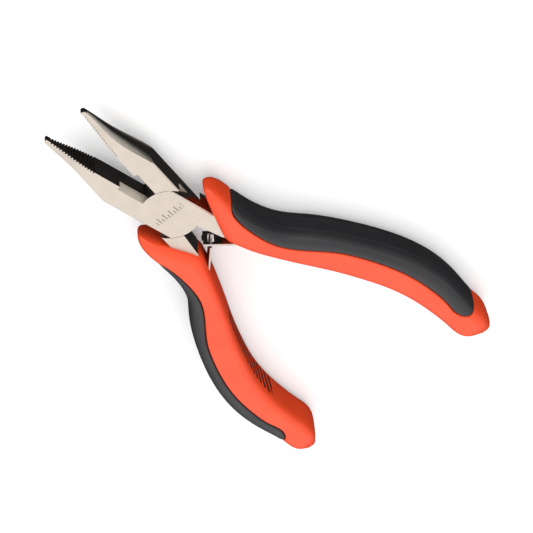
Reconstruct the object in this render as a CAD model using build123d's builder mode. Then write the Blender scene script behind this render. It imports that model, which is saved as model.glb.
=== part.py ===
from build123d import *
import math
import os

# Small long-nose pliers with side cutters, lying flat and sprung open.
# Millimetres and degrees. The pivot axis is Z, +X points to the jaw tips,
# and z = 0 is the ground back face of the head.
# Both levers are one forging: the rear one is the front one turned over about X.
# A lever's own coordinates are those of the closed tool, with its jaw at +y and its tang at -y.

# ---- opening ----
HALF_OPENING = 8.75            # each lever's turn from the closed tool, at rest

# ---- forged head and lap joint ----
HEAD_THICKNESS = 6.0
HEAD_HALF_WIDTH = 5.85
HEAD_RADIUS = 7.35
POCKET_RADIUS = 7.45
LAP_CLEARANCE = 0.03           # each lap face stands this far off the middle plane
EDGE_CHAMFER = 0.28
FLANK_FRONT = 16.0
MIDDLE = HEAD_THICKNESS / 2

# ---- jaw ----
JAW_FACE_CLEARANCE = 0.02      # each jaw face stands this far off the closing line
# Sections of the jaw: distance from the pivot, thickness, width of the ground
# front face, and how far the rounded back bulges past that face.
JAW_SECTIONS = (
    (2.0, 6.00, 8.60, 0.30),
    (13.0, 6.00, 6.30, 0.35),
    (18.0, 6.00, 4.90, 0.60),
    (22.5, 5.70, 3.35, 0.80),
    (28.5, 3.95, 1.95, 0.65),
    (35.9, 1.60, 0.75, 0.35),
)
JAW_LENGTH = 35.9
TIP_ROUNDING = 0.75            # radius of the tip's outer corner
TIP_REACH = 1.6                # past the widest part of the tip

# ---- gripping teeth and side cutter ----
TOOTH_COUNT = 16
TOOTH_PITCH = 0.80
TOOTH_FIRST = 22.3
TOOTH_GROOVE_DEPTH = 0.42
TOOTH_GROOVE_MOUTH = 0.48
TOOTH_GROOVE_FLOOR = 0.16
CUTTER_START = 6.5
CUTTER_END = 14.8
CUTTER_DEPTH = 2.0             # from the tool's front face down to the cutting edge
CUTTER_RELIEF = 0.95           # how far the cutter's bevel falls back at the front face

# ---- pivot rivet ----
RIVET_RADIUS = 2.5
RIVET_HEAD_RADIUS = 3.3
RIVET_HEAD_DEPTH = 0.8
RIVET_CLEARANCE = 0.04
COUNTERSINK_ANGLE = 90

# ---- tang, the part of the lever inside the grip ----
TANG_ROOT = (0.0, -HEAD_HALF_WIDTH)
TANG_OUTER = ((-8.5, -5.85), (-13.0, -6.1), (-20.0, -6.9), (-30.0, -9.9), (-42.0, -14.6),
              (-52.0, -17.4), (-61.0, -18.3), (-69.0, -17.8))
TANG_INNER = ((-69.0, -15.6), (-61.0, -16.1), (-52.0, -14.9), (-42.0, -12.1), (-32.5, -8.3))
SEAT_REAR = (-32.5, -8.3)      # the leaf spring lies on the straight seat between these two points
SEAT_FRONT = (-22.5, -4.9)
THROAT_REAR = (-14.5, -1.7)
THROAT_FRONT = (-6.5, -0.95)

# ---- leaf springs, crossing between the tangs ----
LEAF_THICKNESS = 0.5
LEAF_WIDTH = 5.0
LEAF_INSET = 0.5               # from the rear end of the seat
LEAF_KNEE = 1.2                # from the front end of the seat
LEAF_BEND_RADIUS = 6.0
CROSSING_RADIUS = 14.5         # where the two leaves cross, on the tool's centre line
TONGUE_WIDTH = 2.2
TONGUE_BACK = 0.9              # from the tongue's shoulder to the crossing
LEAF_OVERRUN = 1.9             # from the crossing to the leaf's shoulder
TAB_LENGTH = 0.3
SLOT_LENGTH = 1.5
SLOT_WIDTH = 2.8
SPRING_RIVET_RADIUS = 0.8
SPRING_RIVET_HEAD_RADIUS = 1.3
SPRING_RIVET_HEAD_HEIGHT = 0.35
SPRING_RIVET_DEPTH = 1.6
SPRING_RIVET_PLACE = 4.6       # from the front end of the seat
SPRING_RIVET_TAPER = 30
LEAF_ROOM = 0.3                # free space round the leaf where it leaves the grip

# ---- moulded grips ----
# Stations along the handle: inner edge, outer edge and thickness.
GRIP_STATIONS = (
    ((-16.0, -1.2), (-1.2, -10.5), 8.4),
    ((-17.4, -1.7), (-4.0, -11.5), 9.9),
    ((-19.6, -2.3), (-9.4, -11.1), 10.9),
    ((-23.0, -3.1), (-17.0, -10.4), 11.3),
    ((-27.8, -4.5), (-24.6, -11.7), 11.4),
    ((-34.4, -6.6), (-31.0, -15.2), 11.5),
    ((-42.0, -9.2), (-38.8, -18.8), 11.5),
    ((-49.5, -11.3), (-47.6, -21.7), 11.6),
    ((-57.0, -12.9), (-56.4, -23.5), 11.7),
    ((-64.0, -13.4), (-65.0, -23.7), 11.7),
    ((-71.0, -13.0), (-73.2, -22.1), 11.6),
    ((-78.0, -11.9), (-80.0, -20.2), 11.4),
    ((-84.0, -12.0), (-85.2, -19.0), 10.4),
    ((-87.0, -13.8), (-87.5, -17.6), 6.8),
)
GRIP_CORNER_SHARE = 0.28       # corner radius as a share of a station's width

# ---- soft insert along the outer side of each grip ----
INSERT_EDGE = ((-9.3, -13.0), (-10.2, -10.6), (-12.6, -9.2), (-16.0, -8.5), (-20.5, -8.2), (-25.5, -8.7),
               (-31.0, -11.0), (-38.5, -15.3), (-45.0, -17.6), (-52.5, -19.3), (-59.0, -19.9),
               (-66.0, -19.5), (-72.0, -18.3), (-76.8, -17.3), (-79.3, -18.6), (-79.4, -23.5))
INSERT_OUTSIDE = -30.0         # beyond the widest part of the grip
CUT_REACH = 20.0               # cutting prisms reach this far from the middle plane
BLANK = 200.0                  # longer than any lever


def polar(radius, angle):
    """Point at a radius and an angle in degrees."""
    return (radius * math.cos(math.radians(angle)), radius * math.sin(math.radians(angle)))


def toward(start, end, distance, rise=0.0):
    """Point at a distance along the line from start to end, and raised to its left by rise."""
    run = (Vector(*end) - Vector(*start)).normalized()
    point = Vector(*start) + run * distance + Vector(-run.Y, run.X) * rise
    return (point.X, point.Y)


def place(frame, x, y, z=MIDDLE):
    """Where a point in a lever's own coordinates lies in the tool."""
    return frame.from_local_coords(Vector(x, y, z))


def cross_plane(frame, start, end):
    """Upright plane at start: sketch x runs toward end, sketch y runs along the pivot axis."""
    across = (place(frame, *end) - place(frame, *start)).normalized()
    return Plane(origin=place(frame, *start), x_dir=across, z_dir=across.cross(frame.z_dir))


front_frame = Plane(origin=(0, 0, 0), x_dir=(*polar(1, HALF_OPENING), 0), z_dir=(0, 0, 1))
rear_frame = Plane(origin=(0, 0, HEAD_THICKNESS), x_dir=(*polar(1, -HALF_OPENING), 0), z_dir=(0, 0, -1))

# The leaf lies on its seat, bends at the knee, and runs straight through the crossing point.
crossing = polar(CROSSING_RADIUS, 180 - HALF_OPENING)
leaf_rear = toward(SEAT_REAR, SEAT_FRONT, LEAF_INSET, LEAF_THICKNESS / 2)
leaf_knee = toward(SEAT_FRONT, SEAT_REAR, LEAF_KNEE, -LEAF_THICKNESS / 2)
leaf_reach = math.dist(leaf_knee, crossing)
leaf_tip = toward(leaf_knee, crossing, leaf_reach + LEAF_OVERRUN + TAB_LENGTH)
spring_rivet_seat = toward(SEAT_FRONT, SEAT_REAR, SPRING_RIVET_PLACE)


def jaw_section(frame, distance, thickness, face_width, bulge):
    """D-shaped section of the jaw: flat gripping face, ground front and back, rounded outer side."""
    half = thickness / 2
    inner = JAW_FACE_CLEARANCE
    with BuildSketch(cross_plane(frame, (distance, 0), (distance, 1))) as section:
        with BuildLine():
            Polyline((face_width, -half), (inner, -half), (inner, half), (face_width, half))
            ThreePointArc((face_width, half), (face_width + bulge, 0), (face_width, -half))
        make_face()
    return section.sketch


def cutter_relief(frame, front):
    """Ground bevel of the side cutter: the jaw stays flat from its edge to the tool's back.

    The tool's front is the lever's own upper side where front is 1, and its lower side where it is -1.
    """
    edge = front * (MIDDLE - CUTTER_DEPTH)
    reach = front * HEAD_THICKNESS
    fall = JAW_FACE_CLEARANCE + CUTTER_RELIEF * abs(reach - edge) / CUTTER_DEPTH
    with BuildPart() as relief:
        with BuildSketch(cross_plane(frame, (CUTTER_START, 0), (CUTTER_START, 1))):
            Polygon((JAW_FACE_CLEARANCE, edge), (fall, reach), (-fall, reach), (-fall, edge), align=None)
        extrude(amount=CUTTER_END - CUTTER_START)
        with BuildSketch(frame):
            Circle(HEAD_RADIUS)
        extrude(amount=HEAD_THICKNESS, mode=Mode.SUBTRACT)
    return relief.part


def tip_corner(frame):
    """What rounding the tip's outer corner takes off the jaw."""
    start = (JAW_LENGTH - TIP_ROUNDING, JAW_SECTIONS[-1][2] + JAW_SECTIONS[-1][3] - TIP_ROUNDING)
    with BuildPart() as corner:
        with BuildSketch(frame):
            with Locations(start):
                Rectangle(TIP_REACH, TIP_REACH, align=(Align.MIN, Align.MIN))
                Circle(TIP_ROUNDING, mode=Mode.SUBTRACT)
        extrude(amount=HEAD_THICKNESS)
    return corner.part


def tooth_groove():
    """Section of the groove between two teeth, narrowing to its floor."""
    mouth, floor, depth = TOOTH_GROOVE_MOUTH / 2, TOOTH_GROOVE_FLOOR / 2, TOOTH_GROOVE_DEPTH
    Polygon((-mouth, -depth), (mouth, -depth), (mouth, 0), (floor, depth), (-floor, depth), (-mouth, 0), align=None)


def build_lever(frame, bore_clearance, front):
    """Forged lever: half-lap head, toothed jaw with a cutter, and tang."""
    lap_level = MIDDLE + LAP_CLEARANCE
    with BuildPart() as lever:
        loft([jaw_section(frame, *section) for section in JAW_SECTIONS])

        # Tang, from the head to its end inside the grip.
        with BuildSketch(frame):
            with BuildLine():
                Line(TANG_ROOT, TANG_OUTER[0])
                Spline(*TANG_OUTER)
                Line(TANG_OUTER[-1], TANG_INNER[0])
                Spline(*TANG_INNER)
                Polyline(SEAT_REAR, SEAT_FRONT, THROAT_REAR, THROAT_FRONT, TANG_ROOT)
            make_face()
        extrude(amount=HEAD_THICKNESS)

        # The blank is ground flat, front and back and along the jaw's flank.
        with BuildSketch(frame):
            with Locations((0, HEAD_HALF_WIDTH)):
                Rectangle(BLANK, BLANK, align=(Align.CENTER, Align.MAX))
        extrude(amount=HEAD_THICKNESS, mode=Mode.INTERSECT)

        # Lap joint: a round pocket for the other lever's disc, and over it this lever's own.
        with BuildSketch(frame):
            Circle(POCKET_RADIUS)
        extrude(amount=lap_level, mode=Mode.SUBTRACT)
        with BuildSketch(frame.offset(lap_level)):
            Circle(HEAD_RADIUS)
            Rectangle(BLANK, 2 * HEAD_HALF_WIDTH, mode=Mode.INTERSECT)
        extrude(amount=HEAD_THICKNESS - lap_level)

        add(cutter_relief(frame, front), mode=Mode.SUBTRACT)
        add(tip_corner(frame), mode=Mode.SUBTRACT)

        # Teeth: flat-topped, with a groove between each two.
        with BuildSketch(frame):
            for tooth in range(TOOTH_COUNT):
                with Locations((TOOTH_FIRST + tooth * TOOTH_PITCH, 0)):
                    tooth_groove()
        extrude(amount=HEAD_THICKNESS, mode=Mode.SUBTRACT)

        # Chamfers along the head's flanks, front and back.
        with BuildSketch(cross_plane(frame, (FLANK_FRONT, 0), (FLANK_FRONT, 1))):
            with GridLocations(2 * HEAD_HALF_WIDTH, HEAD_THICKNESS, 2, 2):
                Rectangle(math.sqrt(2) * EDGE_CHAMFER, math.sqrt(2) * EDGE_CHAMFER, rotation=45)
        extrude(amount=TANG_OUTER[0][0] - FLANK_FRONT, mode=Mode.SUBTRACT)

        with Locations(frame.offset(HEAD_THICKNESS)):
            CounterSinkHole(RIVET_RADIUS + bore_clearance, RIVET_HEAD_RADIUS + bore_clearance,
                            counter_sink_angle=COUNTERSINK_ANGLE)
        with Locations(seat_plane(frame)):
            Hole(SPRING_RIVET_RADIUS, SPRING_RIVET_DEPTH)
    return lever.part


def seat_plane(frame):
    """Plane on the leaf spring's seat, at its rivet, facing away from the tang."""
    along = (place(frame, *SEAT_FRONT) - place(frame, *SEAT_REAR)).normalized()
    return Plane(origin=place(frame, *spring_rivet_seat), x_dir=along, z_dir=frame.z_dir.cross(along))


def build_spring_rivet(frame):
    """Small rivet that holds a leaf on the tang."""
    with BuildPart() as rivet:
        with BuildSketch(seat_plane(frame).offset(-SPRING_RIVET_DEPTH)):
            Circle(SPRING_RIVET_RADIUS)
        extrude(amount=SPRING_RIVET_DEPTH + LEAF_THICKNESS)
        with BuildSketch(seat_plane(frame).offset(LEAF_THICKNESS)):
            Circle(SPRING_RIVET_HEAD_RADIUS)
        extrude(amount=SPRING_RIVET_HEAD_HEIGHT, taper=SPRING_RIVET_TAPER)
    return rivet.part


def leaf_strip(frame, room=0.0):
    """Bent strip along the leaf's line, larger all round by the room."""
    with BuildPart() as strip:
        with BuildSketch(frame.offset(MIDDLE - LEAF_WIDTH / 2 - room)):
            with BuildLine():
                FilletPolyline(leaf_rear, leaf_knee, leaf_tip, radius=LEAF_BEND_RADIUS)
            trace(line_width=LEAF_THICKNESS + 2 * room)
        extrude(amount=LEAF_WIDTH + 2 * room)
    return strip.part


def build_leaf(frame, slotted):
    """Leaf spring: the slotted one lets the other one's tongue through where they cross."""
    with BuildPart() as leaf:
        add(leaf_strip(frame))
        # The free end is narrowed, and one leaf has a window.
        shoulder = LEAF_OVERRUN if slotted else -TONGUE_BACK
        with BuildSketch(cross_plane(frame, crossing, leaf_tip)):
            for side in (-1, 1):
                with Locations((shoulder, side * (TONGUE_WIDTH + LEAF_WIDTH) / 2)):
                    Rectangle(LEAF_WIDTH, LEAF_WIDTH, align=(Align.MIN, Align.CENTER))
            if slotted:
                Rectangle(SLOT_LENGTH, SLOT_WIDTH)
        extrude(amount=LEAF_THICKNESS, both=True, mode=Mode.SUBTRACT)
        with Locations(seat_plane(frame).offset(LEAF_THICKNESS)):
            Hole(SPRING_RIVET_RADIUS, LEAF_THICKNESS)
    return leaf.part


def build_grip_envelope(frame):
    """Whole outer shape of a grip, lofted through its stations."""
    sections = []
    for inner, outer, thickness in GRIP_STATIONS:
        width = math.dist(inner, outer)
        with BuildSketch(cross_plane(frame, inner, outer)) as station:
            with Locations((width / 2, 0)):
                RectangleRounded(width, thickness, GRIP_CORNER_SHARE * min(width, thickness))
        sections.append(station.sketch)
    with BuildPart() as envelope:
        loft(sections)
    return envelope.part


def insert_region(frame):
    """Prism over the part of the grip that the soft insert takes up."""
    with BuildPart() as region:
        with BuildSketch(frame.offset(MIDDLE - CUT_REACH)):
            with BuildLine():
                edge = Spline(*INSERT_EDGE)
                Polyline(edge @ 1, (INSERT_EDGE[-1][0], INSERT_OUTSIDE), (INSERT_EDGE[0][0], INSERT_OUTSIDE), edge @ 0)
            make_face()
        extrude(amount=2 * CUT_REACH)
    return region.part


def build_grip(frame, lever, spring_rivet):
    """Hard body of a grip, moulded round the tang, and its soft insert."""
    envelope = build_grip_envelope(frame)
    region = insert_region(frame)
    with BuildPart() as insert:
        add(envelope)
        add(region, mode=Mode.INTERSECT)
    with BuildPart() as body:
        add(envelope)
        add(region, mode=Mode.SUBTRACT)
        add(lever, mode=Mode.SUBTRACT)
        # Room for the leaf to flex where it leaves the grip, and for its rivet's head.
        add(leaf_strip(frame, LEAF_ROOM), mode=Mode.SUBTRACT)
        add(spring_rivet, mode=Mode.SUBTRACT)
    return body.part, insert.part


def build_pivot_rivet():
    """Pivot rivet, headed into both countersinks and ground flush."""
    with BuildPart() as rivet:
        with BuildSketch(Plane.XZ):
            with BuildLine():
                Polyline(
                    (0, 0),
                    (RIVET_HEAD_RADIUS, 0),
                    (RIVET_RADIUS, RIVET_HEAD_DEPTH),
                    (RIVET_RADIUS, HEAD_THICKNESS - RIVET_HEAD_DEPTH),
                    (RIVET_HEAD_RADIUS, HEAD_THICKNESS),
                    (0, HEAD_THICKNESS),
                    close=True,
                )
            make_face()
        revolve(axis=Axis.Z)
    return rivet.part


pieces = {"pivot_rivet": build_pivot_rivet()}
for side, frame, bore_clearance, front in (("front", front_frame, 0.0, 1), ("rear", rear_frame, RIVET_CLEARANCE, -1)):
    lever = build_lever(frame, bore_clearance, front)
    leaf = build_leaf(frame, slotted=(side == "front"))
    spring_rivet = build_spring_rivet(frame)
    body, insert = build_grip(frame, lever, spring_rivet)
    pieces[f"lever_{side}"] = lever
    pieces[f"leaf_spring_{side}"] = leaf
    pieces[f"spring_rivet_{side}"] = spring_rivet
    pieces[f"grip_body_{side}"] = body
    pieces[f"grip_insert_{side}"] = insert

os.makedirs("parts", exist_ok=True)
for name, piece in pieces.items():
    piece.label = name
    export_step(piece, f"parts/{name}.step")
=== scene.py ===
import math

import bmesh
import bpy
import numpy as np
from mathutils import Matrix, Vector


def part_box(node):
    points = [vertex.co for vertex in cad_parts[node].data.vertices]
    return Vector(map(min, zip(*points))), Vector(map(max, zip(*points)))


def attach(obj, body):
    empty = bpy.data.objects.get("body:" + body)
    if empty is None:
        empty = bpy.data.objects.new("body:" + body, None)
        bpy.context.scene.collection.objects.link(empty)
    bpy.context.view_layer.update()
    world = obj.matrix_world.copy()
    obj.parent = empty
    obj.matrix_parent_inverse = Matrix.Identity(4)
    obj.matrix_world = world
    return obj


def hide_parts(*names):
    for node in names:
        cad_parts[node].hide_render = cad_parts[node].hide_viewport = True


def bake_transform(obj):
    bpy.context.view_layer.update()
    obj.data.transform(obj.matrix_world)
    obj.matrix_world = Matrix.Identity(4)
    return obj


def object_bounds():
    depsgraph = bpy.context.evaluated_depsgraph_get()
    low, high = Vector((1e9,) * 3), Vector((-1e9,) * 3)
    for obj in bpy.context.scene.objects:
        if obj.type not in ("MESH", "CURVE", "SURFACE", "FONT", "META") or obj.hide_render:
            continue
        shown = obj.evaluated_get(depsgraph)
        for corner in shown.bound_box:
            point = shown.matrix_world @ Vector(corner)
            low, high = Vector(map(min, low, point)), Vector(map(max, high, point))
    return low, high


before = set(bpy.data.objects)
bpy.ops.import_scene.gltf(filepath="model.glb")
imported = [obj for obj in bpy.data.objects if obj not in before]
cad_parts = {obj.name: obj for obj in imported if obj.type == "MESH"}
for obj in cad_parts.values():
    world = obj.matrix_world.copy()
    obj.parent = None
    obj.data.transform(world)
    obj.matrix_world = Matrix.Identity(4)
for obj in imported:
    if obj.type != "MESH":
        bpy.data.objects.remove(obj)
cad_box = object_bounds()

# Lengths are millimetres in a lever's own coordinates and metres in the shared frame.
# A lever's own coordinates are those of the closed tool, with its jaw at +y, its tang at -y
# and z from the middle plane. Both grips are alike: the rear one is turned over about X.
MM = 0.001
HALF_OPENING = math.radians(8.75)
head_low, head_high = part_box("pivot_rivet")
MIDDLE = (head_low.z + head_high.z) / 2
BODIES = {"front": "front_lever", "rear": "rear_lever"}

# ---- moulded grip ----
# Stations along it, each with its inner point, outer point and thickness.
GRIP_STATIONS = (
    ((-16.0, -1.2), (-1.2, -10.5), 8.4),
    ((-17.4, -1.7), (-4.0, -11.5), 9.9),
    ((-19.6, -2.3), (-9.4, -11.1), 10.9),
    ((-23.0, -3.1), (-17.0, -10.4), 11.3),
    ((-27.8, -4.5), (-24.6, -11.7), 11.4),
    ((-34.4, -6.6), (-31.0, -15.2), 11.5),
    ((-42.0, -9.2), (-38.8, -18.8), 11.5),
    ((-49.5, -11.3), (-47.6, -21.7), 11.6),
    ((-57.0, -12.9), (-56.4, -23.5), 11.7),
    ((-64.0, -13.4), (-65.0, -23.7), 11.7),
    ((-71.0, -13.0), (-73.2, -22.1), 11.6),
    ((-78.0, -11.9), (-80.0, -20.2), 11.4),
    ((-84.0, -12.0), (-85.2, -19.0), 10.4),
    ((-87.0, -13.8), (-87.5, -17.6), 6.8),
)
INSERT_EDGE = (
    (-9.3, -13.0), (-10.2, -10.6), (-12.6, -9.2), (-16.0, -8.5), (-20.5, -8.2), (-25.5, -8.7),
    (-31.0, -11.0), (-38.5, -15.3), (-45.0, -17.6), (-52.5, -19.3), (-59.0, -19.9),
    (-66.0, -19.5), (-72.0, -18.3), (-76.8, -17.3), (-79.3, -18.6), (-79.4, -23.5),
)
EDGE_SAMPLES = 260             # points on the insert's edge line
RING_POINTS = 96
RING_STEP = 0.45               # between rings along the grip
SECTION_SAMPLES = 720          # points on half a section before it is spaced evenly
INNER_SQUARENESS = 4.3         # exponents of the section's two halves
OUTER_SQUARENESS = 3.2
LIP_LENGTH = 2.2               # rounding of the collar at the head
LIP_INSET = 1.1
LIP_TURNS = tuple(range(90, 0, -10))
BUTT_BULGE = 0.9               # dome of the far end
BUTT_TURNS = (15, 30, 45, 60, 75, 86)
CUT_TOLERANCE = 1e-9           # how near a cut a vertex counts as on it
# Height of the moulded surfaces against the distance past the insert's edge.
BODY_PROFILE = ((-0.50, 0.0), (-0.25, -0.05), (-0.12, -0.14), (-0.02, -0.45), (0.02, -1.25))
INSERT_PROFILE = ((0.14, -0.40), (0.24, -0.12), (0.45, 0.05), (0.9, 0.14), (1.6, 0.17))
INSERT_BOTTOM = -1.2

# ---- leaf spring ----
SEAT_REAR = (-32.5, -8.3)
SEAT_FRONT = (-22.5, -4.9)
LEAF_THICKNESS = 0.5
LEAF_WIDTH = 5.0
LEAF_KNEE = 1.2
LEAF_BEND_RADIUS = 6.0
CROSSING_RADIUS = 14.5
TONGUE_WIDTH = 2.2
TONGUE_BACK = 0.9
LEAF_OVERRUN = 1.9
TAB_LENGTH = 0.3
SLOT_LENGTH = 1.5
SLOT_WIDTH = 2.8
LEAF_ROUNDING = 0.07
LEAF_STEP = 0.5                # between sections along the leaf
LEAF_BURIED_SHARE = 0.8        # of the seat, how much the leaf covers inside the grip

# ---- plain marks: engraved ticks on the head (metres), printed strokes on the grips ----
TICK_START = -0.0006
TICK_LENGTH = 0.0019
TICK_WIDTH = 0.00022
TICK_PITCH = 0.0009
TICK_REACH = 0.0041
TICK_END_SOFTNESS = 0.00002
TICK_SIDE_SOFTNESS = 0.00004
TICK_FACE_DEPTH = 0.0001       # how far below the front face ticks still show
TICK_STRENGTH = 0.8
STROKE_START = 27.0
STROKE_END = 60.0
STROKE_PITCH = 2.2
STROKE_WIDTH = 1.1
STROKE_SLANT = 7.0
STROKE_BAND = (-0.16, 0.16)    # shares of the way round to the outer side
STROKE_SIDE_SOFTNESS = 0.08
STROKE_END_SOFTNESS = 0.1
STROKE_BAND_SOFTNESS = 0.012
MOULD_RIDGE_SHEEN_LINES = (                # start, end and softness, as shares of the way round; faint mould ridges drawn lighter as a painted sheen
    (0.885, 0.905, 0.008),
    (0.745, 0.760, 0.006),
)

# ---- surface colours and grain ----
NOISE_SPAN = (0.3, 0.7)        # where the bulk of the noise values lie
GROUND_SPAN = (0.90, 0.98)     # |z| of the normal from curved side to ground face
CURVED_SPAN = (0.08, 0.30)     # |z| of the normal from upright flank to curved side, where the painted highlight lies
STEEL_FACE_LOW = (0.50, 0.437, 0.378)
STEEL_FACE_HIGH = (0.545, 0.482, 0.421)
STEEL_LINE = (0.585, 0.525, 0.462)
STEEL_SPOT = (0.42, 0.365, 0.31)
STEEL_FLANK_LOW = (0.34, 0.31, 0.29)
STEEL_FLANK_HIGH = (0.50, 0.46, 0.43)
# The curved sides' colour is lighter than the ground faces: a painted highlight for their bright
# reflections.
STEEL_CURVED_HIGHLIGHT = (0.74, 0.68, 0.61)
TICK_COLOUR = (0.10, 0.085, 0.075)
STEEL_LINE_SCALE = 1500
STEEL_LINE_STRETCH = (0.22, 2.2, 1.0)
STEEL_CLOUD_SCALE = 240
STEEL_SPOT_SCALE = 2600
STEEL_LINE_DEPTH = 0.000012
MOULD_CLOUD_SCALE = 130
MOULD_FINE_SCALE = 4200
MOULD_STREAK_SCALE = 700
MOULD_STREAK_STRETCH = (0.25, 1, 1)
MOULD_GRAIN_DEPTH = 0.00002


# ---------------------------------------------------------------- shared helpers

def lever_matrix(side):
    """Lever coordinates to the shared frame."""
    turn = Matrix.Rotation(HALF_OPENING, 4, "Z")
    if side == "rear":
        turn = Matrix.Rotation(-HALF_OPENING, 4, "Z") @ Matrix.Rotation(math.pi, 4, "X")
    return Matrix.Translation((0, 0, MIDDLE)) @ turn @ Matrix.Scale(MM, 4)


def spline(points, samples, knots=None):
    """Natural cubic spline through rows of points."""
    points = np.asarray(points, float)
    if knots is None:
        knots = np.arange(len(points))
    knots = np.asarray(knots, float)
    steps = np.diff(knots)
    count = len(points)
    system = np.eye(count)
    bend = np.zeros_like(points)
    for i in range(1, count - 1):
        system[i, i - 1:i + 2] = steps[i - 1], 2 * (steps[i - 1] + steps[i]), steps[i]
        ahead = (points[i + 1] - points[i]) / steps[i]
        behind = (points[i] - points[i - 1]) / steps[i - 1]
        bend[i] = 6 * (ahead - behind)
    bend = np.linalg.solve(system, bend)
    samples = np.asarray(samples, float)
    span = np.clip(np.searchsorted(knots, samples, side="right") - 1, 0, count - 2)
    width = steps[span][:, None]
    a = (knots[span + 1] - samples)[:, None] / width
    b = 1 - a
    return (a * points[span] + b * points[span + 1]
            + ((a ** 3 - a) * bend[span] + (b ** 3 - b) * bend[span + 1]) * width ** 2 / 6)


def chord_lengths(points):
    """Distance along a polyline at each of its points."""
    return np.concatenate([[0], np.cumsum(np.linalg.norm(np.diff(points, axis=0), axis=1))])


def mesh_object(name, vertices, faces, matrix, attributes=None):
    """Smooth-shaded mesh object from vertices in lever coordinates, its normals facing out."""
    mesh = bpy.data.meshes.new(name)
    mesh.from_pydata([tuple(v) for v in vertices], [], faces)
    mesh.transform(matrix)
    for key, values in (attributes or {}).items():
        layer = mesh.attributes.new(key, "FLOAT", "POINT")
        layer.data.foreach_set("value", np.asarray(values, np.float32))
    build = bmesh.new()
    build.from_mesh(mesh)
    bmesh.ops.recalc_face_normals(build, faces=build.faces)
    build.to_mesh(mesh)
    build.free()
    mesh.polygons.foreach_set("use_smooth", [True] * len(mesh.polygons))
    obj = bpy.data.objects.new(name, mesh)
    bpy.context.scene.collection.objects.link(obj)
    return obj


# ---------------------------------------------------------------- grips

def grip_section(half_width, half_thickness):
    """Closed section, starting at the middle of its inner side and spaced evenly round it."""
    turn = np.linspace(0, math.pi, SECTION_SAMPLES)
    squareness = np.where(np.cos(turn) > 0, INNER_SQUARENESS, OUTER_SQUARENESS)
    across = half_width * (1 - np.sign(np.cos(turn)) * np.abs(np.cos(turn)) ** (2 / squareness))
    height = half_thickness * np.abs(np.sin(turn)) ** (2 / squareness)
    half = np.column_stack([across, height])
    length = chord_lengths(half)
    even = np.linspace(0, length[-1], RING_POINTS // 2 + 1)
    half = np.column_stack([np.interp(even, length, half[:, axis]) for axis in (0, 1)])
    back = half[-2:0:-1] * (1, -1)
    around = np.concatenate([even, -even[-2:0:-1]])
    return np.vstack([half, back]), around


def grip_rings():
    """Vertices of the grip in rings from the head to the far end, with their places on it."""
    stations = np.array([(*inner, *outer, thickness) for inner, outer, thickness in GRIP_STATIONS])
    middles = (stations[:, :2] + stations[:, 2:4]) / 2
    knots = chord_lengths(middles)
    lip = LIP_LENGTH * (1 - np.sin(np.radians(LIP_TURNS)))
    samples = np.linspace(LIP_LENGTH, knots[-1], int(knots[-1] / RING_STEP) + 1)
    samples = np.concatenate([lip, samples])
    rows = spline(stations, samples, knots)
    rings, around, along = [], [], []

    def add_ring(row, forward, shrink, place):
        inner, outer, thickness = row[:2], row[2:4], row[4]
        width = np.linalg.norm(outer - inner)
        across = (outer - inner) / width
        ahead = np.array([-across[1], across[0]])
        section, section_around = grip_section(width / 2 - shrink[0], thickness / 2 - shrink[1])
        plan = inner + np.outer(section[:, 0] + shrink[0], across) + ahead * forward
        rings.append(np.column_stack([plan, section[:, 1]]))
        around.append(section_around / np.abs(section_around).max())
        along.append(np.full(RING_POINTS, place))

    for row, place in zip(rows, samples):
        # The collar's edge is rounded over within the first stretch of the grip.
        turned = math.asin(min(1.0, max(0.0, 1 - place / LIP_LENGTH)))
        inset = LIP_INSET * (1 - math.cos(turned))
        add_ring(row, 0, (inset, inset), place)
    last = rows[-1]
    width = math.dist(last[:2], last[2:4])
    for turn in np.radians(BUTT_TURNS):
        inset = 1 - math.cos(turn)
        add_ring(last, -BUTT_BULGE * math.sin(turn), (inset * width / 2, inset * last[4] / 2),
                 samples[-1] + BUTT_BULGE * math.sin(turn))
    return np.array(rings), np.array(around), np.array(along)


def edge_distance(plan):
    """Distance of plan points past the insert's edge, positive over the insert."""
    knots = chord_lengths(np.array(INSERT_EDGE))
    line = spline(INSERT_EDGE, np.linspace(0, knots[-1], EDGE_SAMPLES), knots)
    start, run = line[:-1], np.diff(line, axis=0)
    best = np.full(len(plan), np.inf)
    signed = np.zeros(len(plan))
    for origin, step in zip(start, run):
        away = plan - origin
        share = np.clip(away @ step / (step @ step), 0, 1)
        gap = away - share[:, None] * step
        distance = np.linalg.norm(gap, axis=1)
        side = np.sign(step[0] * away[:, 1] - step[1] * away[:, 0])
        nearer = distance < best
        best = np.where(nearer, distance, best)
        signed = np.where(nearer, side * distance, signed)
    return signed


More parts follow.
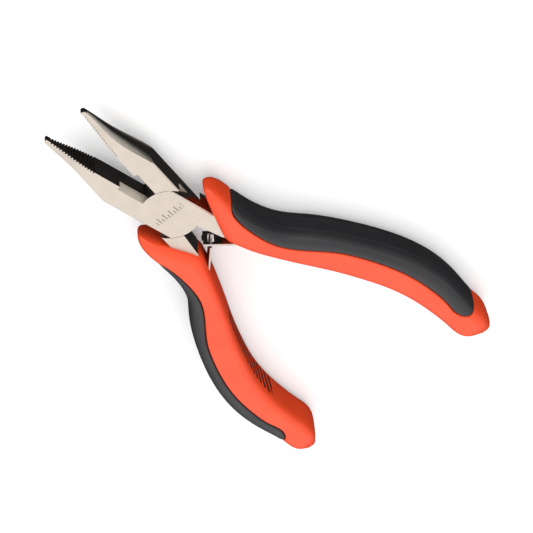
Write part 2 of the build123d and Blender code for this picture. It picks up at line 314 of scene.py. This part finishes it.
class Skin:
    """Polygons over vertex rows: place, normal, distance past the edge, along and around."""

    def __init__(self, data, faces):
        self.data = list(data)
        self.faces = faces

    def cut(self, level):
        """Splits every polygon that the distance crosses at the level."""
        made = {}
        faces = []
        for face in self.faces:
            past = [self.data[i][6] - level for i in face]
            if min(past) >= -CUT_TOLERANCE or max(past) <= CUT_TOLERANCE:
                faces.append(face)
                continue
            halves = ([], [])
            for position, vertex in enumerate(face):
                after = (position + 1) % len(face)
                here, there = past[position], past[after]
                if here >= -CUT_TOLERANCE:
                    halves[0].append(vertex)
                if here <= CUT_TOLERANCE:
                    halves[1].append(vertex)
                if min(here, there) < -CUT_TOLERANCE and max(here, there) > CUT_TOLERANCE:
                    following = face[after]
                    key = (min(vertex, following), max(vertex, following))
                    if key not in made:
                        share = here / (here - there)
                        made[key] = len(self.data)
                        self.data.append(self.data[vertex] * (1 - share)
                                         + self.data[following] * share)
                    halves[0].append(made[key])
                    halves[1].append(made[key])
            faces.extend(half for half in halves if len(half) > 2)
        self.faces = faces

    def keep(self, wanted):
        """Drops polygons whose middle distance isn't wanted, and the vertices only they used."""
        data = np.array(self.data)
        self.faces = [face for face in self.faces if wanted(data[list(face), 6].mean())]
        used = sorted({i for face in self.faces for i in face})
        place = {old: new for new, old in enumerate(used)}
        self.data = [self.data[i] for i in used]
        self.faces = [[place[i] for i in face] for face in self.faces]


def grip_skin():
    """The grip's whole outer surface as one closed skin."""
    rings, around, along = grip_rings()
    rows, columns = around.shape
    lengthwise = np.gradient(rings, axis=0)
    crosswise = np.roll(rings, -1, axis=1) - np.roll(rings, 1, axis=1)
    normals = np.cross(crosswise, lengthwise)
    normals /= np.linalg.norm(normals, axis=2, keepdims=True)
    if (normals[rows // 2, :, 2] * rings[rows // 2, :, 2]).sum() < 0:
        normals = -normals
    points = rings.reshape(-1, 3)
    data = np.column_stack([points, normals.reshape(-1, 3), edge_distance(points[:, :2]),
                            along.ravel(), around.ravel()])
    faces = [[r * columns + c, r * columns + (c + 1) % columns,
              (r + 1) * columns + (c + 1) % columns, (r + 1) * columns + c]
             for r in range(rows - 1) for c in range(columns)]
    faces.append(list(range(columns - 1, -1, -1)))
    faces.append([(rows - 1) * columns + c for c in range(columns)])
    return Skin(data, faces)


def raised(data, profile):
    """Vertex places moved along their normals by a profile of the distance past the edge."""
    height = np.interp(data[:, 6], [d for d, _ in profile], [h for _, h in profile])
    return data[:, :3] + data[:, 3:6] * height[:, None]


def grip_body_mesh():
    """The whole grip, sunk where the insert lies."""
    skin = grip_skin()
    for level, _ in BODY_PROFILE:
        skin.cut(level)
    data = np.array(skin.data)
    return raised(data, BODY_PROFILE), skin.faces, data


def grip_insert_mesh():
    """Closed shell of the insert, with its own underside and rim."""
    skin = grip_skin()
    for level, _ in INSERT_PROFILE:
        skin.cut(level)
    edge = INSERT_PROFILE[0][0]
    skin.keep(lambda distance: distance > edge)
    data = np.array(skin.data)
    top = raised(data, INSERT_PROFILE)
    bottom = data[:, :3] + data[:, 3:6] * INSERT_BOTTOM
    count = len(data)
    uses = {}
    for face in skin.faces:
        for a, b in zip(face, face[1:] + face[:1]):
            uses[(a, b)] = uses.get((a, b), 0) + 1
    rim = [[b, a, a + count, b + count] for a, b in uses if (b, a) not in uses]
    faces = skin.faces + [[i + count for i in reversed(face)] for face in skin.faces] + rim
    return np.vstack([top, bottom]), faces, np.vstack([data, data])


# ---------------------------------------------------------------- leaf springs

def leaf_path():
    """Line of a leaf from inside the grip, round its knee and through the crossing."""
    rear, front = np.array(SEAT_REAR), np.array(SEAT_FRONT)
    seat = (front - rear) / np.linalg.norm(front - rear)
    rise = np.array([-seat[1], seat[0]]) * LEAF_THICKNESS / 2
    knee = front - seat * LEAF_KNEE + rise
    crossing = CROSSING_RADIUS * np.array([-math.cos(HALF_OPENING), math.sin(HALF_OPENING)])
    reach = np.linalg.norm(crossing - knee)
    run = (crossing - knee) / reach
    bend = math.acos(seat @ run)
    tangent = LEAF_BEND_RADIUS * math.tan(bend / 2)
    centre = knee - seat * tangent + np.array([-seat[1], seat[0]]) * LEAF_BEND_RADIUS
    seat_length = np.linalg.norm(knee - rear - rise) - tangent
    arc_length = LEAF_BEND_RADIUS * bend

    def point(distance):
        """Place and normal at a distance from the crossing, negative towards the grip."""
        s = distance + reach - tangent
        if s >= 0:
            return knee + run * (tangent + s), np.array([-run[1], run[0]])
        if s >= -arc_length:
            turn = math.atan2(seat[1], seat[0]) + (s + arc_length) / LEAF_BEND_RADIUS
            normal = np.array([-math.sin(turn), math.cos(turn)])
            return centre - normal * LEAF_BEND_RADIUS, normal
        normal = np.array([-seat[1], seat[0]])
        return knee - seat * (tangent - (s + arc_length)), normal

    start = -(reach - tangent) - arc_length - seat_length * LEAF_BURIED_SHARE
    return point, start, crossing, run, knee


def leaf_mesh(slotted):
    """Closed strip with its tongue or window, in cells of the plan of length and width."""
    point, start, _, _, _ = leaf_path()
    tip = LEAF_OVERRUN + TAB_LENGTH
    shoulder = LEAF_OVERRUN if slotted else -TONGUE_BACK
    marks = {start, tip, shoulder, -SLOT_LENGTH / 2, SLOT_LENGTH / 2}
    first = math.ceil(start / LEAF_STEP) * LEAF_STEP
    lengths = sorted(marks | set(np.arange(first, tip, LEAF_STEP)))
    halves = (TONGUE_WIDTH / 2, SLOT_WIDTH / 2, LEAF_WIDTH / 2)
    widths = (*(-half for half in reversed(halves)), 0, *halves)

    def filled(length, width):
        if length > shoulder:
            return abs(width) < TONGUE_WIDTH / 2
        return not (slotted and abs(length) < SLOT_LENGTH / 2 and abs(width) < SLOT_WIDTH / 2)

    cells = {(i, j) for i in range(len(lengths) - 1) for j in range(len(widths) - 1)
             if filled((lengths[i] + lengths[i + 1]) / 2, (widths[j] + widths[j + 1]) / 2)}
    # Each side of a cell: the neighbour it faces, and its two corners.
    sides = (((-1, 0), (0, 1), (0, 0)), ((1, 0), (1, 0), (1, 1)),
             ((0, -1), (0, 0), (1, 0)), ((0, 1), (1, 1), (0, 1)))
    vertices, faces, index = [], [], {}

    def corner(i, j, layer):
        key = (i, j, layer)
        if key not in index:
            place, normal = point(lengths[i])
            lifted = place + normal * (layer - 0.5) * LEAF_THICKNESS
            index[key] = len(vertices)
            vertices.append((*lifted, widths[j]))
        return index[key]

    for i, j in sorted(cells):
        faces.append([corner(i, j, 1), corner(i + 1, j, 1),
                      corner(i + 1, j + 1, 1), corner(i, j + 1, 1)])
        faces.append([corner(i, j + 1, 0), corner(i + 1, j + 1, 0),
                      corner(i + 1, j, 0), corner(i, j, 0)])
        for (di, dj), a, b in sides:
            if (i + di, j + dj) not in cells:
                faces.append([corner(i + a[0], j + a[1], 0), corner(i + b[0], j + b[1], 0),
                              corner(i + b[0], j + b[1], 1), corner(i + a[0], j + a[1], 1)])
    return vertices, faces


def build_leaf(side):
    """Leaf object with its sharp edges slightly rounded."""
    vertices, faces = leaf_mesh(slotted=(side == "front"))
    obj = mesh_object(f"leaf_{side}", vertices, faces, lever_matrix(side))
    build = bmesh.new()
    build.from_mesh(obj.data)
    sharp = [e for e in build.edges if len(e.link_faces) == 2 and e.calc_face_angle() > 1]
    bmesh.ops.bevel(build, geom=sharp, offset=LEAF_ROUNDING * MM, segments=2, profile=0.5,
                    affect="EDGES")
    build.to_mesh(obj.data)
    build.free()
    obj.data.set_sharp_from_angle(angle=math.radians(50))
    return obj


# ---------------------------------------------------------------- materials

def new_material(name):
    material = bpy.data.materials.new(name)
    material.use_nodes = True
    nodes = material.node_tree.nodes
    return material, nodes, material.node_tree.links, nodes["Principled BSDF"]


def add(nodes, kind, **settings):
    node = nodes.new(kind)
    for key, value in settings.items():
        if key in node.bl_rna.properties:
            setattr(node, key, value)
        else:
            node.inputs[key.replace("_", " ")].default_value = value
    return node


def math_node(nodes, links, operation, *values):
    node = nodes.new("ShaderNodeMath")
    node.operation = operation
    for socket, value in zip(node.inputs, values):
        if isinstance(value, (int, float)):
            socket.default_value = value
        else:
            links.new(value, socket)
    return node.outputs[0]


def colour_mix(nodes, links, factor, low, high):
    node = nodes.new("ShaderNodeMix")
    node.data_type = "RGBA"
    links.new(factor, node.inputs["Factor"])
    for socket, value in ((node.inputs["A"], low), (node.inputs["B"], high)):
        if isinstance(value, tuple):
            socket.default_value = (*value, 1)
        else:
            links.new(value, socket)
    return node.outputs["Result"]


def grain(nodes, links, scale, stretch=(1, 1, 1), turn=0.0, detail=4.0):
    """Noise of the object's own coordinates, in features of 1/scale metres."""
    place = nodes.new("ShaderNodeTexCoord")
    mapping = nodes.new("ShaderNodeMapping")
    mapping.inputs["Rotation"].default_value = (0, 0, turn)
    mapping.inputs["Scale"].default_value = stretch
    links.new(place.outputs["Object"], mapping.inputs["Vector"])
    noise = add(nodes, "ShaderNodeTexNoise", Scale=scale, Detail=detail)
    links.new(mapping.outputs["Vector"], noise.inputs["Vector"])
    return noise.outputs["Fac"]


def remap(nodes, links, value, low, high, to_low=0.0, to_high=1.0):
    node = nodes.new("ShaderNodeMapRange")
    links.new(value, node.inputs["Value"])
    limits = {"From Min": low, "From Max": high, "To Min": to_low, "To Max": to_high}
    for socket, number in limits.items():
        node.inputs[socket].default_value = number
    return node.outputs["Result"]


def bump(nodes, links, shader, height, distance, strength=1.0):
    node = add(nodes, "ShaderNodeBump", Strength=strength, Distance=distance)
    links.new(height, node.inputs["Height"])
    links.new(node.outputs["Normal"], shader.inputs["Normal"])


def steel(name, turn, ticks=None):
    """Ground faces with a fine cross grain, satin curved sides painted lighter as a highlight, and
    polished dark flanks.
    """
    material, nodes, links, shader = new_material(name)
    shader.inputs["Metallic"].default_value = 1.0
    place = nodes.new("ShaderNodeTexCoord")
    parts = nodes.new("ShaderNodeSeparateXYZ")
    links.new(place.outputs["Normal"], parts.inputs["Vector"])
    upright = math_node(nodes, links, "ABSOLUTE", parts.outputs["Z"])
    ground = remap(nodes, links, upright, *GROUND_SPAN)
    curved = remap(nodes, links, upright, *CURVED_SPAN)
    lines = grain(nodes, links, STEEL_LINE_SCALE, STEEL_LINE_STRETCH, turn)
    cloud = grain(nodes, links, STEEL_CLOUD_SCALE, (1, 1, 1), turn)
    spots = grain(nodes, links, STEEL_SPOT_SCALE, (1, 1, 1), turn, 2.0)
    face = colour_mix(nodes, links, remap(nodes, links, cloud, *NOISE_SPAN),
                      STEEL_FACE_LOW, STEEL_FACE_HIGH)
    face = colour_mix(nodes, links, remap(nodes, links, lines, 0.35, 0.70, 0.0, 0.6),
                      face, STEEL_LINE)
    face = colour_mix(nodes, links, remap(nodes, links, spots, 0.62, 0.75, 0.0, 0.5),
                      face, STEEL_SPOT)
    flank = colour_mix(nodes, links, remap(nodes, links, cloud, *NOISE_SPAN),
                       STEEL_FLANK_LOW, STEEL_FLANK_HIGH)
    # Curved sides and bevels take the lighter colour: painted highlight.
    flank = colour_mix(nodes, links, curved, flank, STEEL_CURVED_HIGHLIGHT)
    colour = colour_mix(nodes, links, ground, flank, face)
    if ticks:
        colour = colour_mix(nodes, links, ticks(nodes, links), colour, TICK_COLOUR)
    links.new(colour, shader.inputs["Base Color"])
    rough = math_node(nodes, links, "ADD", remap(nodes, links, curved, 0, 1, 0.20, 0.50),
                      remap(nodes, links, lines, *NOISE_SPAN, -0.03, 0.05))
    rough = math_node(nodes, links, "SUBTRACT", rough,
                      remap(nodes, links, ground, 0, 1, 0.0, 0.08))
    links.new(rough, shader.inputs["Roughness"])
    bump(nodes, links, shader, lines, STEEL_LINE_DEPTH, 0.3)
    return material


def pulse(nodes, links, value, low, high, soft):
    """One between low and high, and nought outside, with soft ends."""
    rise = remap(nodes, links, value, low, low + soft)
    fall = remap(nodes, links, value, high - soft, high, 1.0, 0.0)
    return math_node(nodes, links, "MULTIPLY", rise, fall)


def head_ticks(nodes, links):
    """Plain engraved scale across the front face of the head, long and short ticks in turn."""
    place = nodes.new("ShaderNodeTexCoord")
    parts = nodes.new("ShaderNodeSeparateXYZ")
    links.new(place.outputs["Object"], parts.inputs["Vector"])
    x, y, z = (parts.outputs[axis] for axis in "XYZ")
    reach = pulse(nodes, links, y, -TICK_REACH, TICK_REACH, TICK_END_SOFTNESS)
    from_end = math_node(nodes, links, "ADD", y, TICK_REACH)
    wave = math_node(nodes, links, "PINGPONG", from_end, TICK_PITCH / 2)
    stroke = remap(nodes, links, wave, TICK_WIDTH / 2, TICK_WIDTH / 2 + TICK_SIDE_SOFTNESS,
                   1.0, 0.0)
    wide = math_node(nodes, links, "PINGPONG", from_end, TICK_PITCH)
    longer = remap(nodes, links, wide, TICK_PITCH * 0.45, TICK_PITCH * 0.55,
                   TICK_LENGTH, TICK_LENGTH * 0.5)
    past = math_node(nodes, links, "SUBTRACT", x, TICK_START)
    begun = math_node(nodes, links, "GREATER_THAN", past, 0.0)
    ended = math_node(nodes, links, "LESS_THAN", past, longer)
    front = math_node(nodes, links, "GREATER_THAN", z, float(head_high.z) - TICK_FACE_DEPTH)
    mask = math_node(nodes, links, "MULTIPLY", reach, stroke)
    for part in (begun, ended, front):
        mask = math_node(nodes, links, "MULTIPLY", mask, part)
    return math_node(nodes, links, "MULTIPLY", mask, TICK_STRENGTH)


def attribute(nodes, name):
    return add(nodes, "ShaderNodeAttribute", attribute_name=name).outputs["Fac"]


def stroke_row(nodes, links):
    """Row of plain slanted strokes printed along the inner side of a grip."""
    along, around = attribute(nodes, "along"), attribute(nodes, "around")
    slant = math_node(nodes, links, "MULTIPLY_ADD", around, STROKE_SLANT, along)
    wave = math_node(nodes, links, "PINGPONG", slant, STROKE_PITCH / 2)
    stroke = remap(nodes, links, wave, STROKE_WIDTH / 2 - STROKE_SIDE_SOFTNESS,
                   STROKE_WIDTH / 2 + STROKE_SIDE_SOFTNESS, 1.0, 0.0)
    reach = pulse(nodes, links, along, STROKE_START, STROKE_END, STROKE_END_SOFTNESS)
    band = pulse(nodes, links, around, *STROKE_BAND, STROKE_BAND_SOFTNESS)
    within = math_node(nodes, links, "MULTIPLY", reach, band)
    return math_node(nodes, links, "MULTIPLY", stroke, within)


def mould_ridges_and_sheen(nodes, links):
    """Faint mould ridges along the insert, alike on both sides of its middle, drawn lighter as a
    painted sheen along them.
    """
    around = math_node(nodes, links, "ABSOLUTE", attribute(nodes, "around"))
    outer, inner = (pulse(nodes, links, around, *line) for line in MOULD_RIDGE_SHEEN_LINES)
    return math_node(nodes, links, "ADD", outer, inner)


def moulded(name, light, deep, roughness, marks, mark_colour, mark_height):
    """Semi-matte moulded plastic or rubber with a fine spark-eroded grain and its marks."""
    material, nodes, links, shader = new_material(name)
    cloud = grain(nodes, links, MOULD_CLOUD_SCALE)
    fine = grain(nodes, links, MOULD_FINE_SCALE, detail=2.0)
    streak = grain(nodes, links, MOULD_STREAK_SCALE, MOULD_STREAK_STRETCH)
    colour = colour_mix(nodes, links, remap(nodes, links, cloud, *NOISE_SPAN), deep, light)
    mask = marks(nodes, links)
    links.new(colour_mix(nodes, links, mask, colour, mark_colour), shader.inputs["Base Color"])
    rough = remap(nodes, links, fine, *NOISE_SPAN, roughness - 0.03, roughness + 0.05)
    rough = math_node(nodes, links, "ADD", rough,
                      remap(nodes, links, streak, 0.45, 0.75, 0.0, 0.07))
    links.new(rough, shader.inputs["Roughness"])
    height = math_node(nodes, links, "MULTIPLY_ADD", mask, mark_height, fine)
    bump(nodes, links, shader, height, MOULD_GRAIN_DEPTH, 0.6)
    return material


# ---------------------------------------------------------------- pieces

steel_front = steel("steel_front", 0.5, head_ticks)
steel_rear = steel("steel_rear", -0.3)
spring_steel = steel("spring_steel", 0.0)
orange = moulded("grip_orange", (0.93, 0.082, 0.020), (0.88, 0.066, 0.012), 0.42,
                 stroke_row, (0.012, 0.004, 0.003), 2.0)
# The insert's marks are slightly raised and lighter: faint mould ridges with a painted sheen along
# them.
grey = moulded("grip_grey", (0.024, 0.024, 0.026), (0.017, 0.017, 0.019), 0.46,
               mould_ridges_and_sheen, (0.036, 0.036, 0.039), 1.5)

CAD_MATERIALS = {
    "lever_front": steel_front,
    "pivot_rivet": steel_front,
    "spring_rivet_front": steel_front,
    "lever_rear": steel_rear,
    "spring_rivet_rear": steel_rear,
}
for node, material in CAD_MATERIALS.items():
    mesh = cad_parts[node].data
    mesh.materials.clear()
    mesh.materials.append(material)

body_vertices, body_faces, body_data = grip_body_mesh()
insert_vertices, insert_faces, insert_data = grip_insert_mesh()
for side, body in BODIES.items():
    for part, slot, material, vertices, faces, data in (
            ("grip_body", "grip_orange", orange, body_vertices, body_faces, body_data),
            ("grip_insert", "grip_grey", grey, insert_vertices, insert_faces, insert_data)):
        piece = mesh_object(f"{part}_moulding_{side}", vertices, faces, lever_matrix(side),
                            {"along": data[:, 7], "around": data[:, 8]})
        piece.data.materials.append(material)
        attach(piece, body)
        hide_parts(f"{part}_{side}")

_, _, crossing, leaf_run, leaf_knee = leaf_path()
for side, body in BODIES.items():
    leaf = build_leaf(side)
    leaf.data.materials.append(spring_steel)
    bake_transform(leaf)
    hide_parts(f"leaf_spring_{side}")


# ---------------------------------------------------------------- floor, light and camera

def aim(obj, location, target):
    """Puts a light at a place, facing a target."""
    obj.location = location
    obj.rotation_euler = (Vector(target) - Vector(location)).to_track_quat("-Z", "Y").to_euler()


def from_direction(azimuth, elevation):
    """Unit vector towards an azimuth and elevation in degrees."""
    a, e = math.radians(azimuth), math.radians(elevation)
    return Vector((math.cos(e) * math.cos(a), math.cos(e) * math.sin(a), math.sin(e)))


FLOOR_REACH = 3.0
LIGHT_DISTANCE = 1.0
SKY_SPAN = (-0.30, 0.35)       # z of the direction over which the surroundings brighten
SKY_LEVELS = (0.03, 0.98)

low, high = cad_box
centre = (low + high) / 2

floor_mesh = bpy.data.meshes.new("floor")
corners = [(x * FLOOR_REACH, y * FLOOR_REACH, low.z)
           for x, y in ((-1, -1), (1, -1), (1, 1), (-1, 1))]
floor_mesh.from_pydata(corners, [], [(0, 1, 2, 3)])
floor = bpy.data.objects.new("floor", floor_mesh)
bpy.context.scene.collection.objects.link(floor)
floor_material, nodes, links, shader = new_material("floor")
shader.inputs["Base Color"].default_value = (0.86, 0.86, 0.86, 1)
shader.inputs["Roughness"].default_value = 0.9
shader.inputs["Emission Color"].default_value = (1, 1, 1, 1)
shader.inputs["Emission Strength"].default_value = 0.22
floor.data.materials.append(floor_material)
floor.visible_glossy = False
floor.visible_diffuse = False

CAMERA_AZIMUTH = -36.43
CAMERA_ELEVATION = 47.03
CAMERA_ROLL = 173.13
CAMERA_DISTANCE = 0.60469
CAMERA_TARGET = Vector((-0.03096, -0.00331, 0.003))
CAMERA_LENS = 168.86

LIGHTS = (
    # name, azimuth, elevation, size, power
    ("key", CAMERA_AZIMUTH + 180, CAMERA_ELEVATION, 1.1, 1.7),
    ("top", CAMERA_AZIMUTH + 180, 82, 0.6, 0.8),
    ("fill", CAMERA_AZIMUTH, 16, 0.5, 3.2),
)
for name, azimuth, elevation, size, power in LIGHTS:
    data = bpy.data.lights.new(name, "AREA")
    data.shape = "DISK"
    data.size = size
    data.energy = power
    light = bpy.data.objects.new(name, data)
    bpy.context.scene.collection.objects.link(light)
    aim(light, centre + from_direction(azimuth, elevation) * LIGHT_DISTANCE, centre)

world = bpy.data.worlds.new("studio")
bpy.context.scene.world = world
world.use_nodes = True
nodes, links = world.node_tree.nodes, world.node_tree.links
place = nodes.new("ShaderNodeTexCoord")
parts = nodes.new("ShaderNodeSeparateXYZ")
links.new(place.outputs["Generated"], parts.inputs["Vector"])
level = remap(nodes, links, parts.outputs["Z"], *SKY_SPAN, *SKY_LEVELS)
links.new(level, nodes["Background"].inputs["Color"])
nodes["Background"].inputs["Strength"].default_value = 1.0

bpy.context.scene.view_settings.view_transform = "Standard"

back = from_direction(CAMERA_AZIMUTH, CAMERA_ELEVATION)
level_right = Vector((0, 0, 1)).cross(back).normalized()
level_up = back.cross(level_right)
roll = math.radians(CAMERA_ROLL)
right = level_right * math.cos(roll) + level_up * math.sin(roll)
up = back.cross(right)
camera_data = bpy.data.cameras.new("camera")
camera_data.lens = CAMERA_LENS
camera_data.sensor_width = 36.0
camera_data.clip_start, camera_data.clip_end = 0.01, 20.0
camera = bpy.data.objects.new("camera", camera_data)
bpy.context.scene.collection.objects.link(camera)
turned = Matrix((right, up, back)).transposed().to_4x4()
camera.matrix_world = Matrix.Translation(CAMERA_TARGET + back * CAMERA_DISTANCE) @ turned
bpy.context.scene.camera = camera
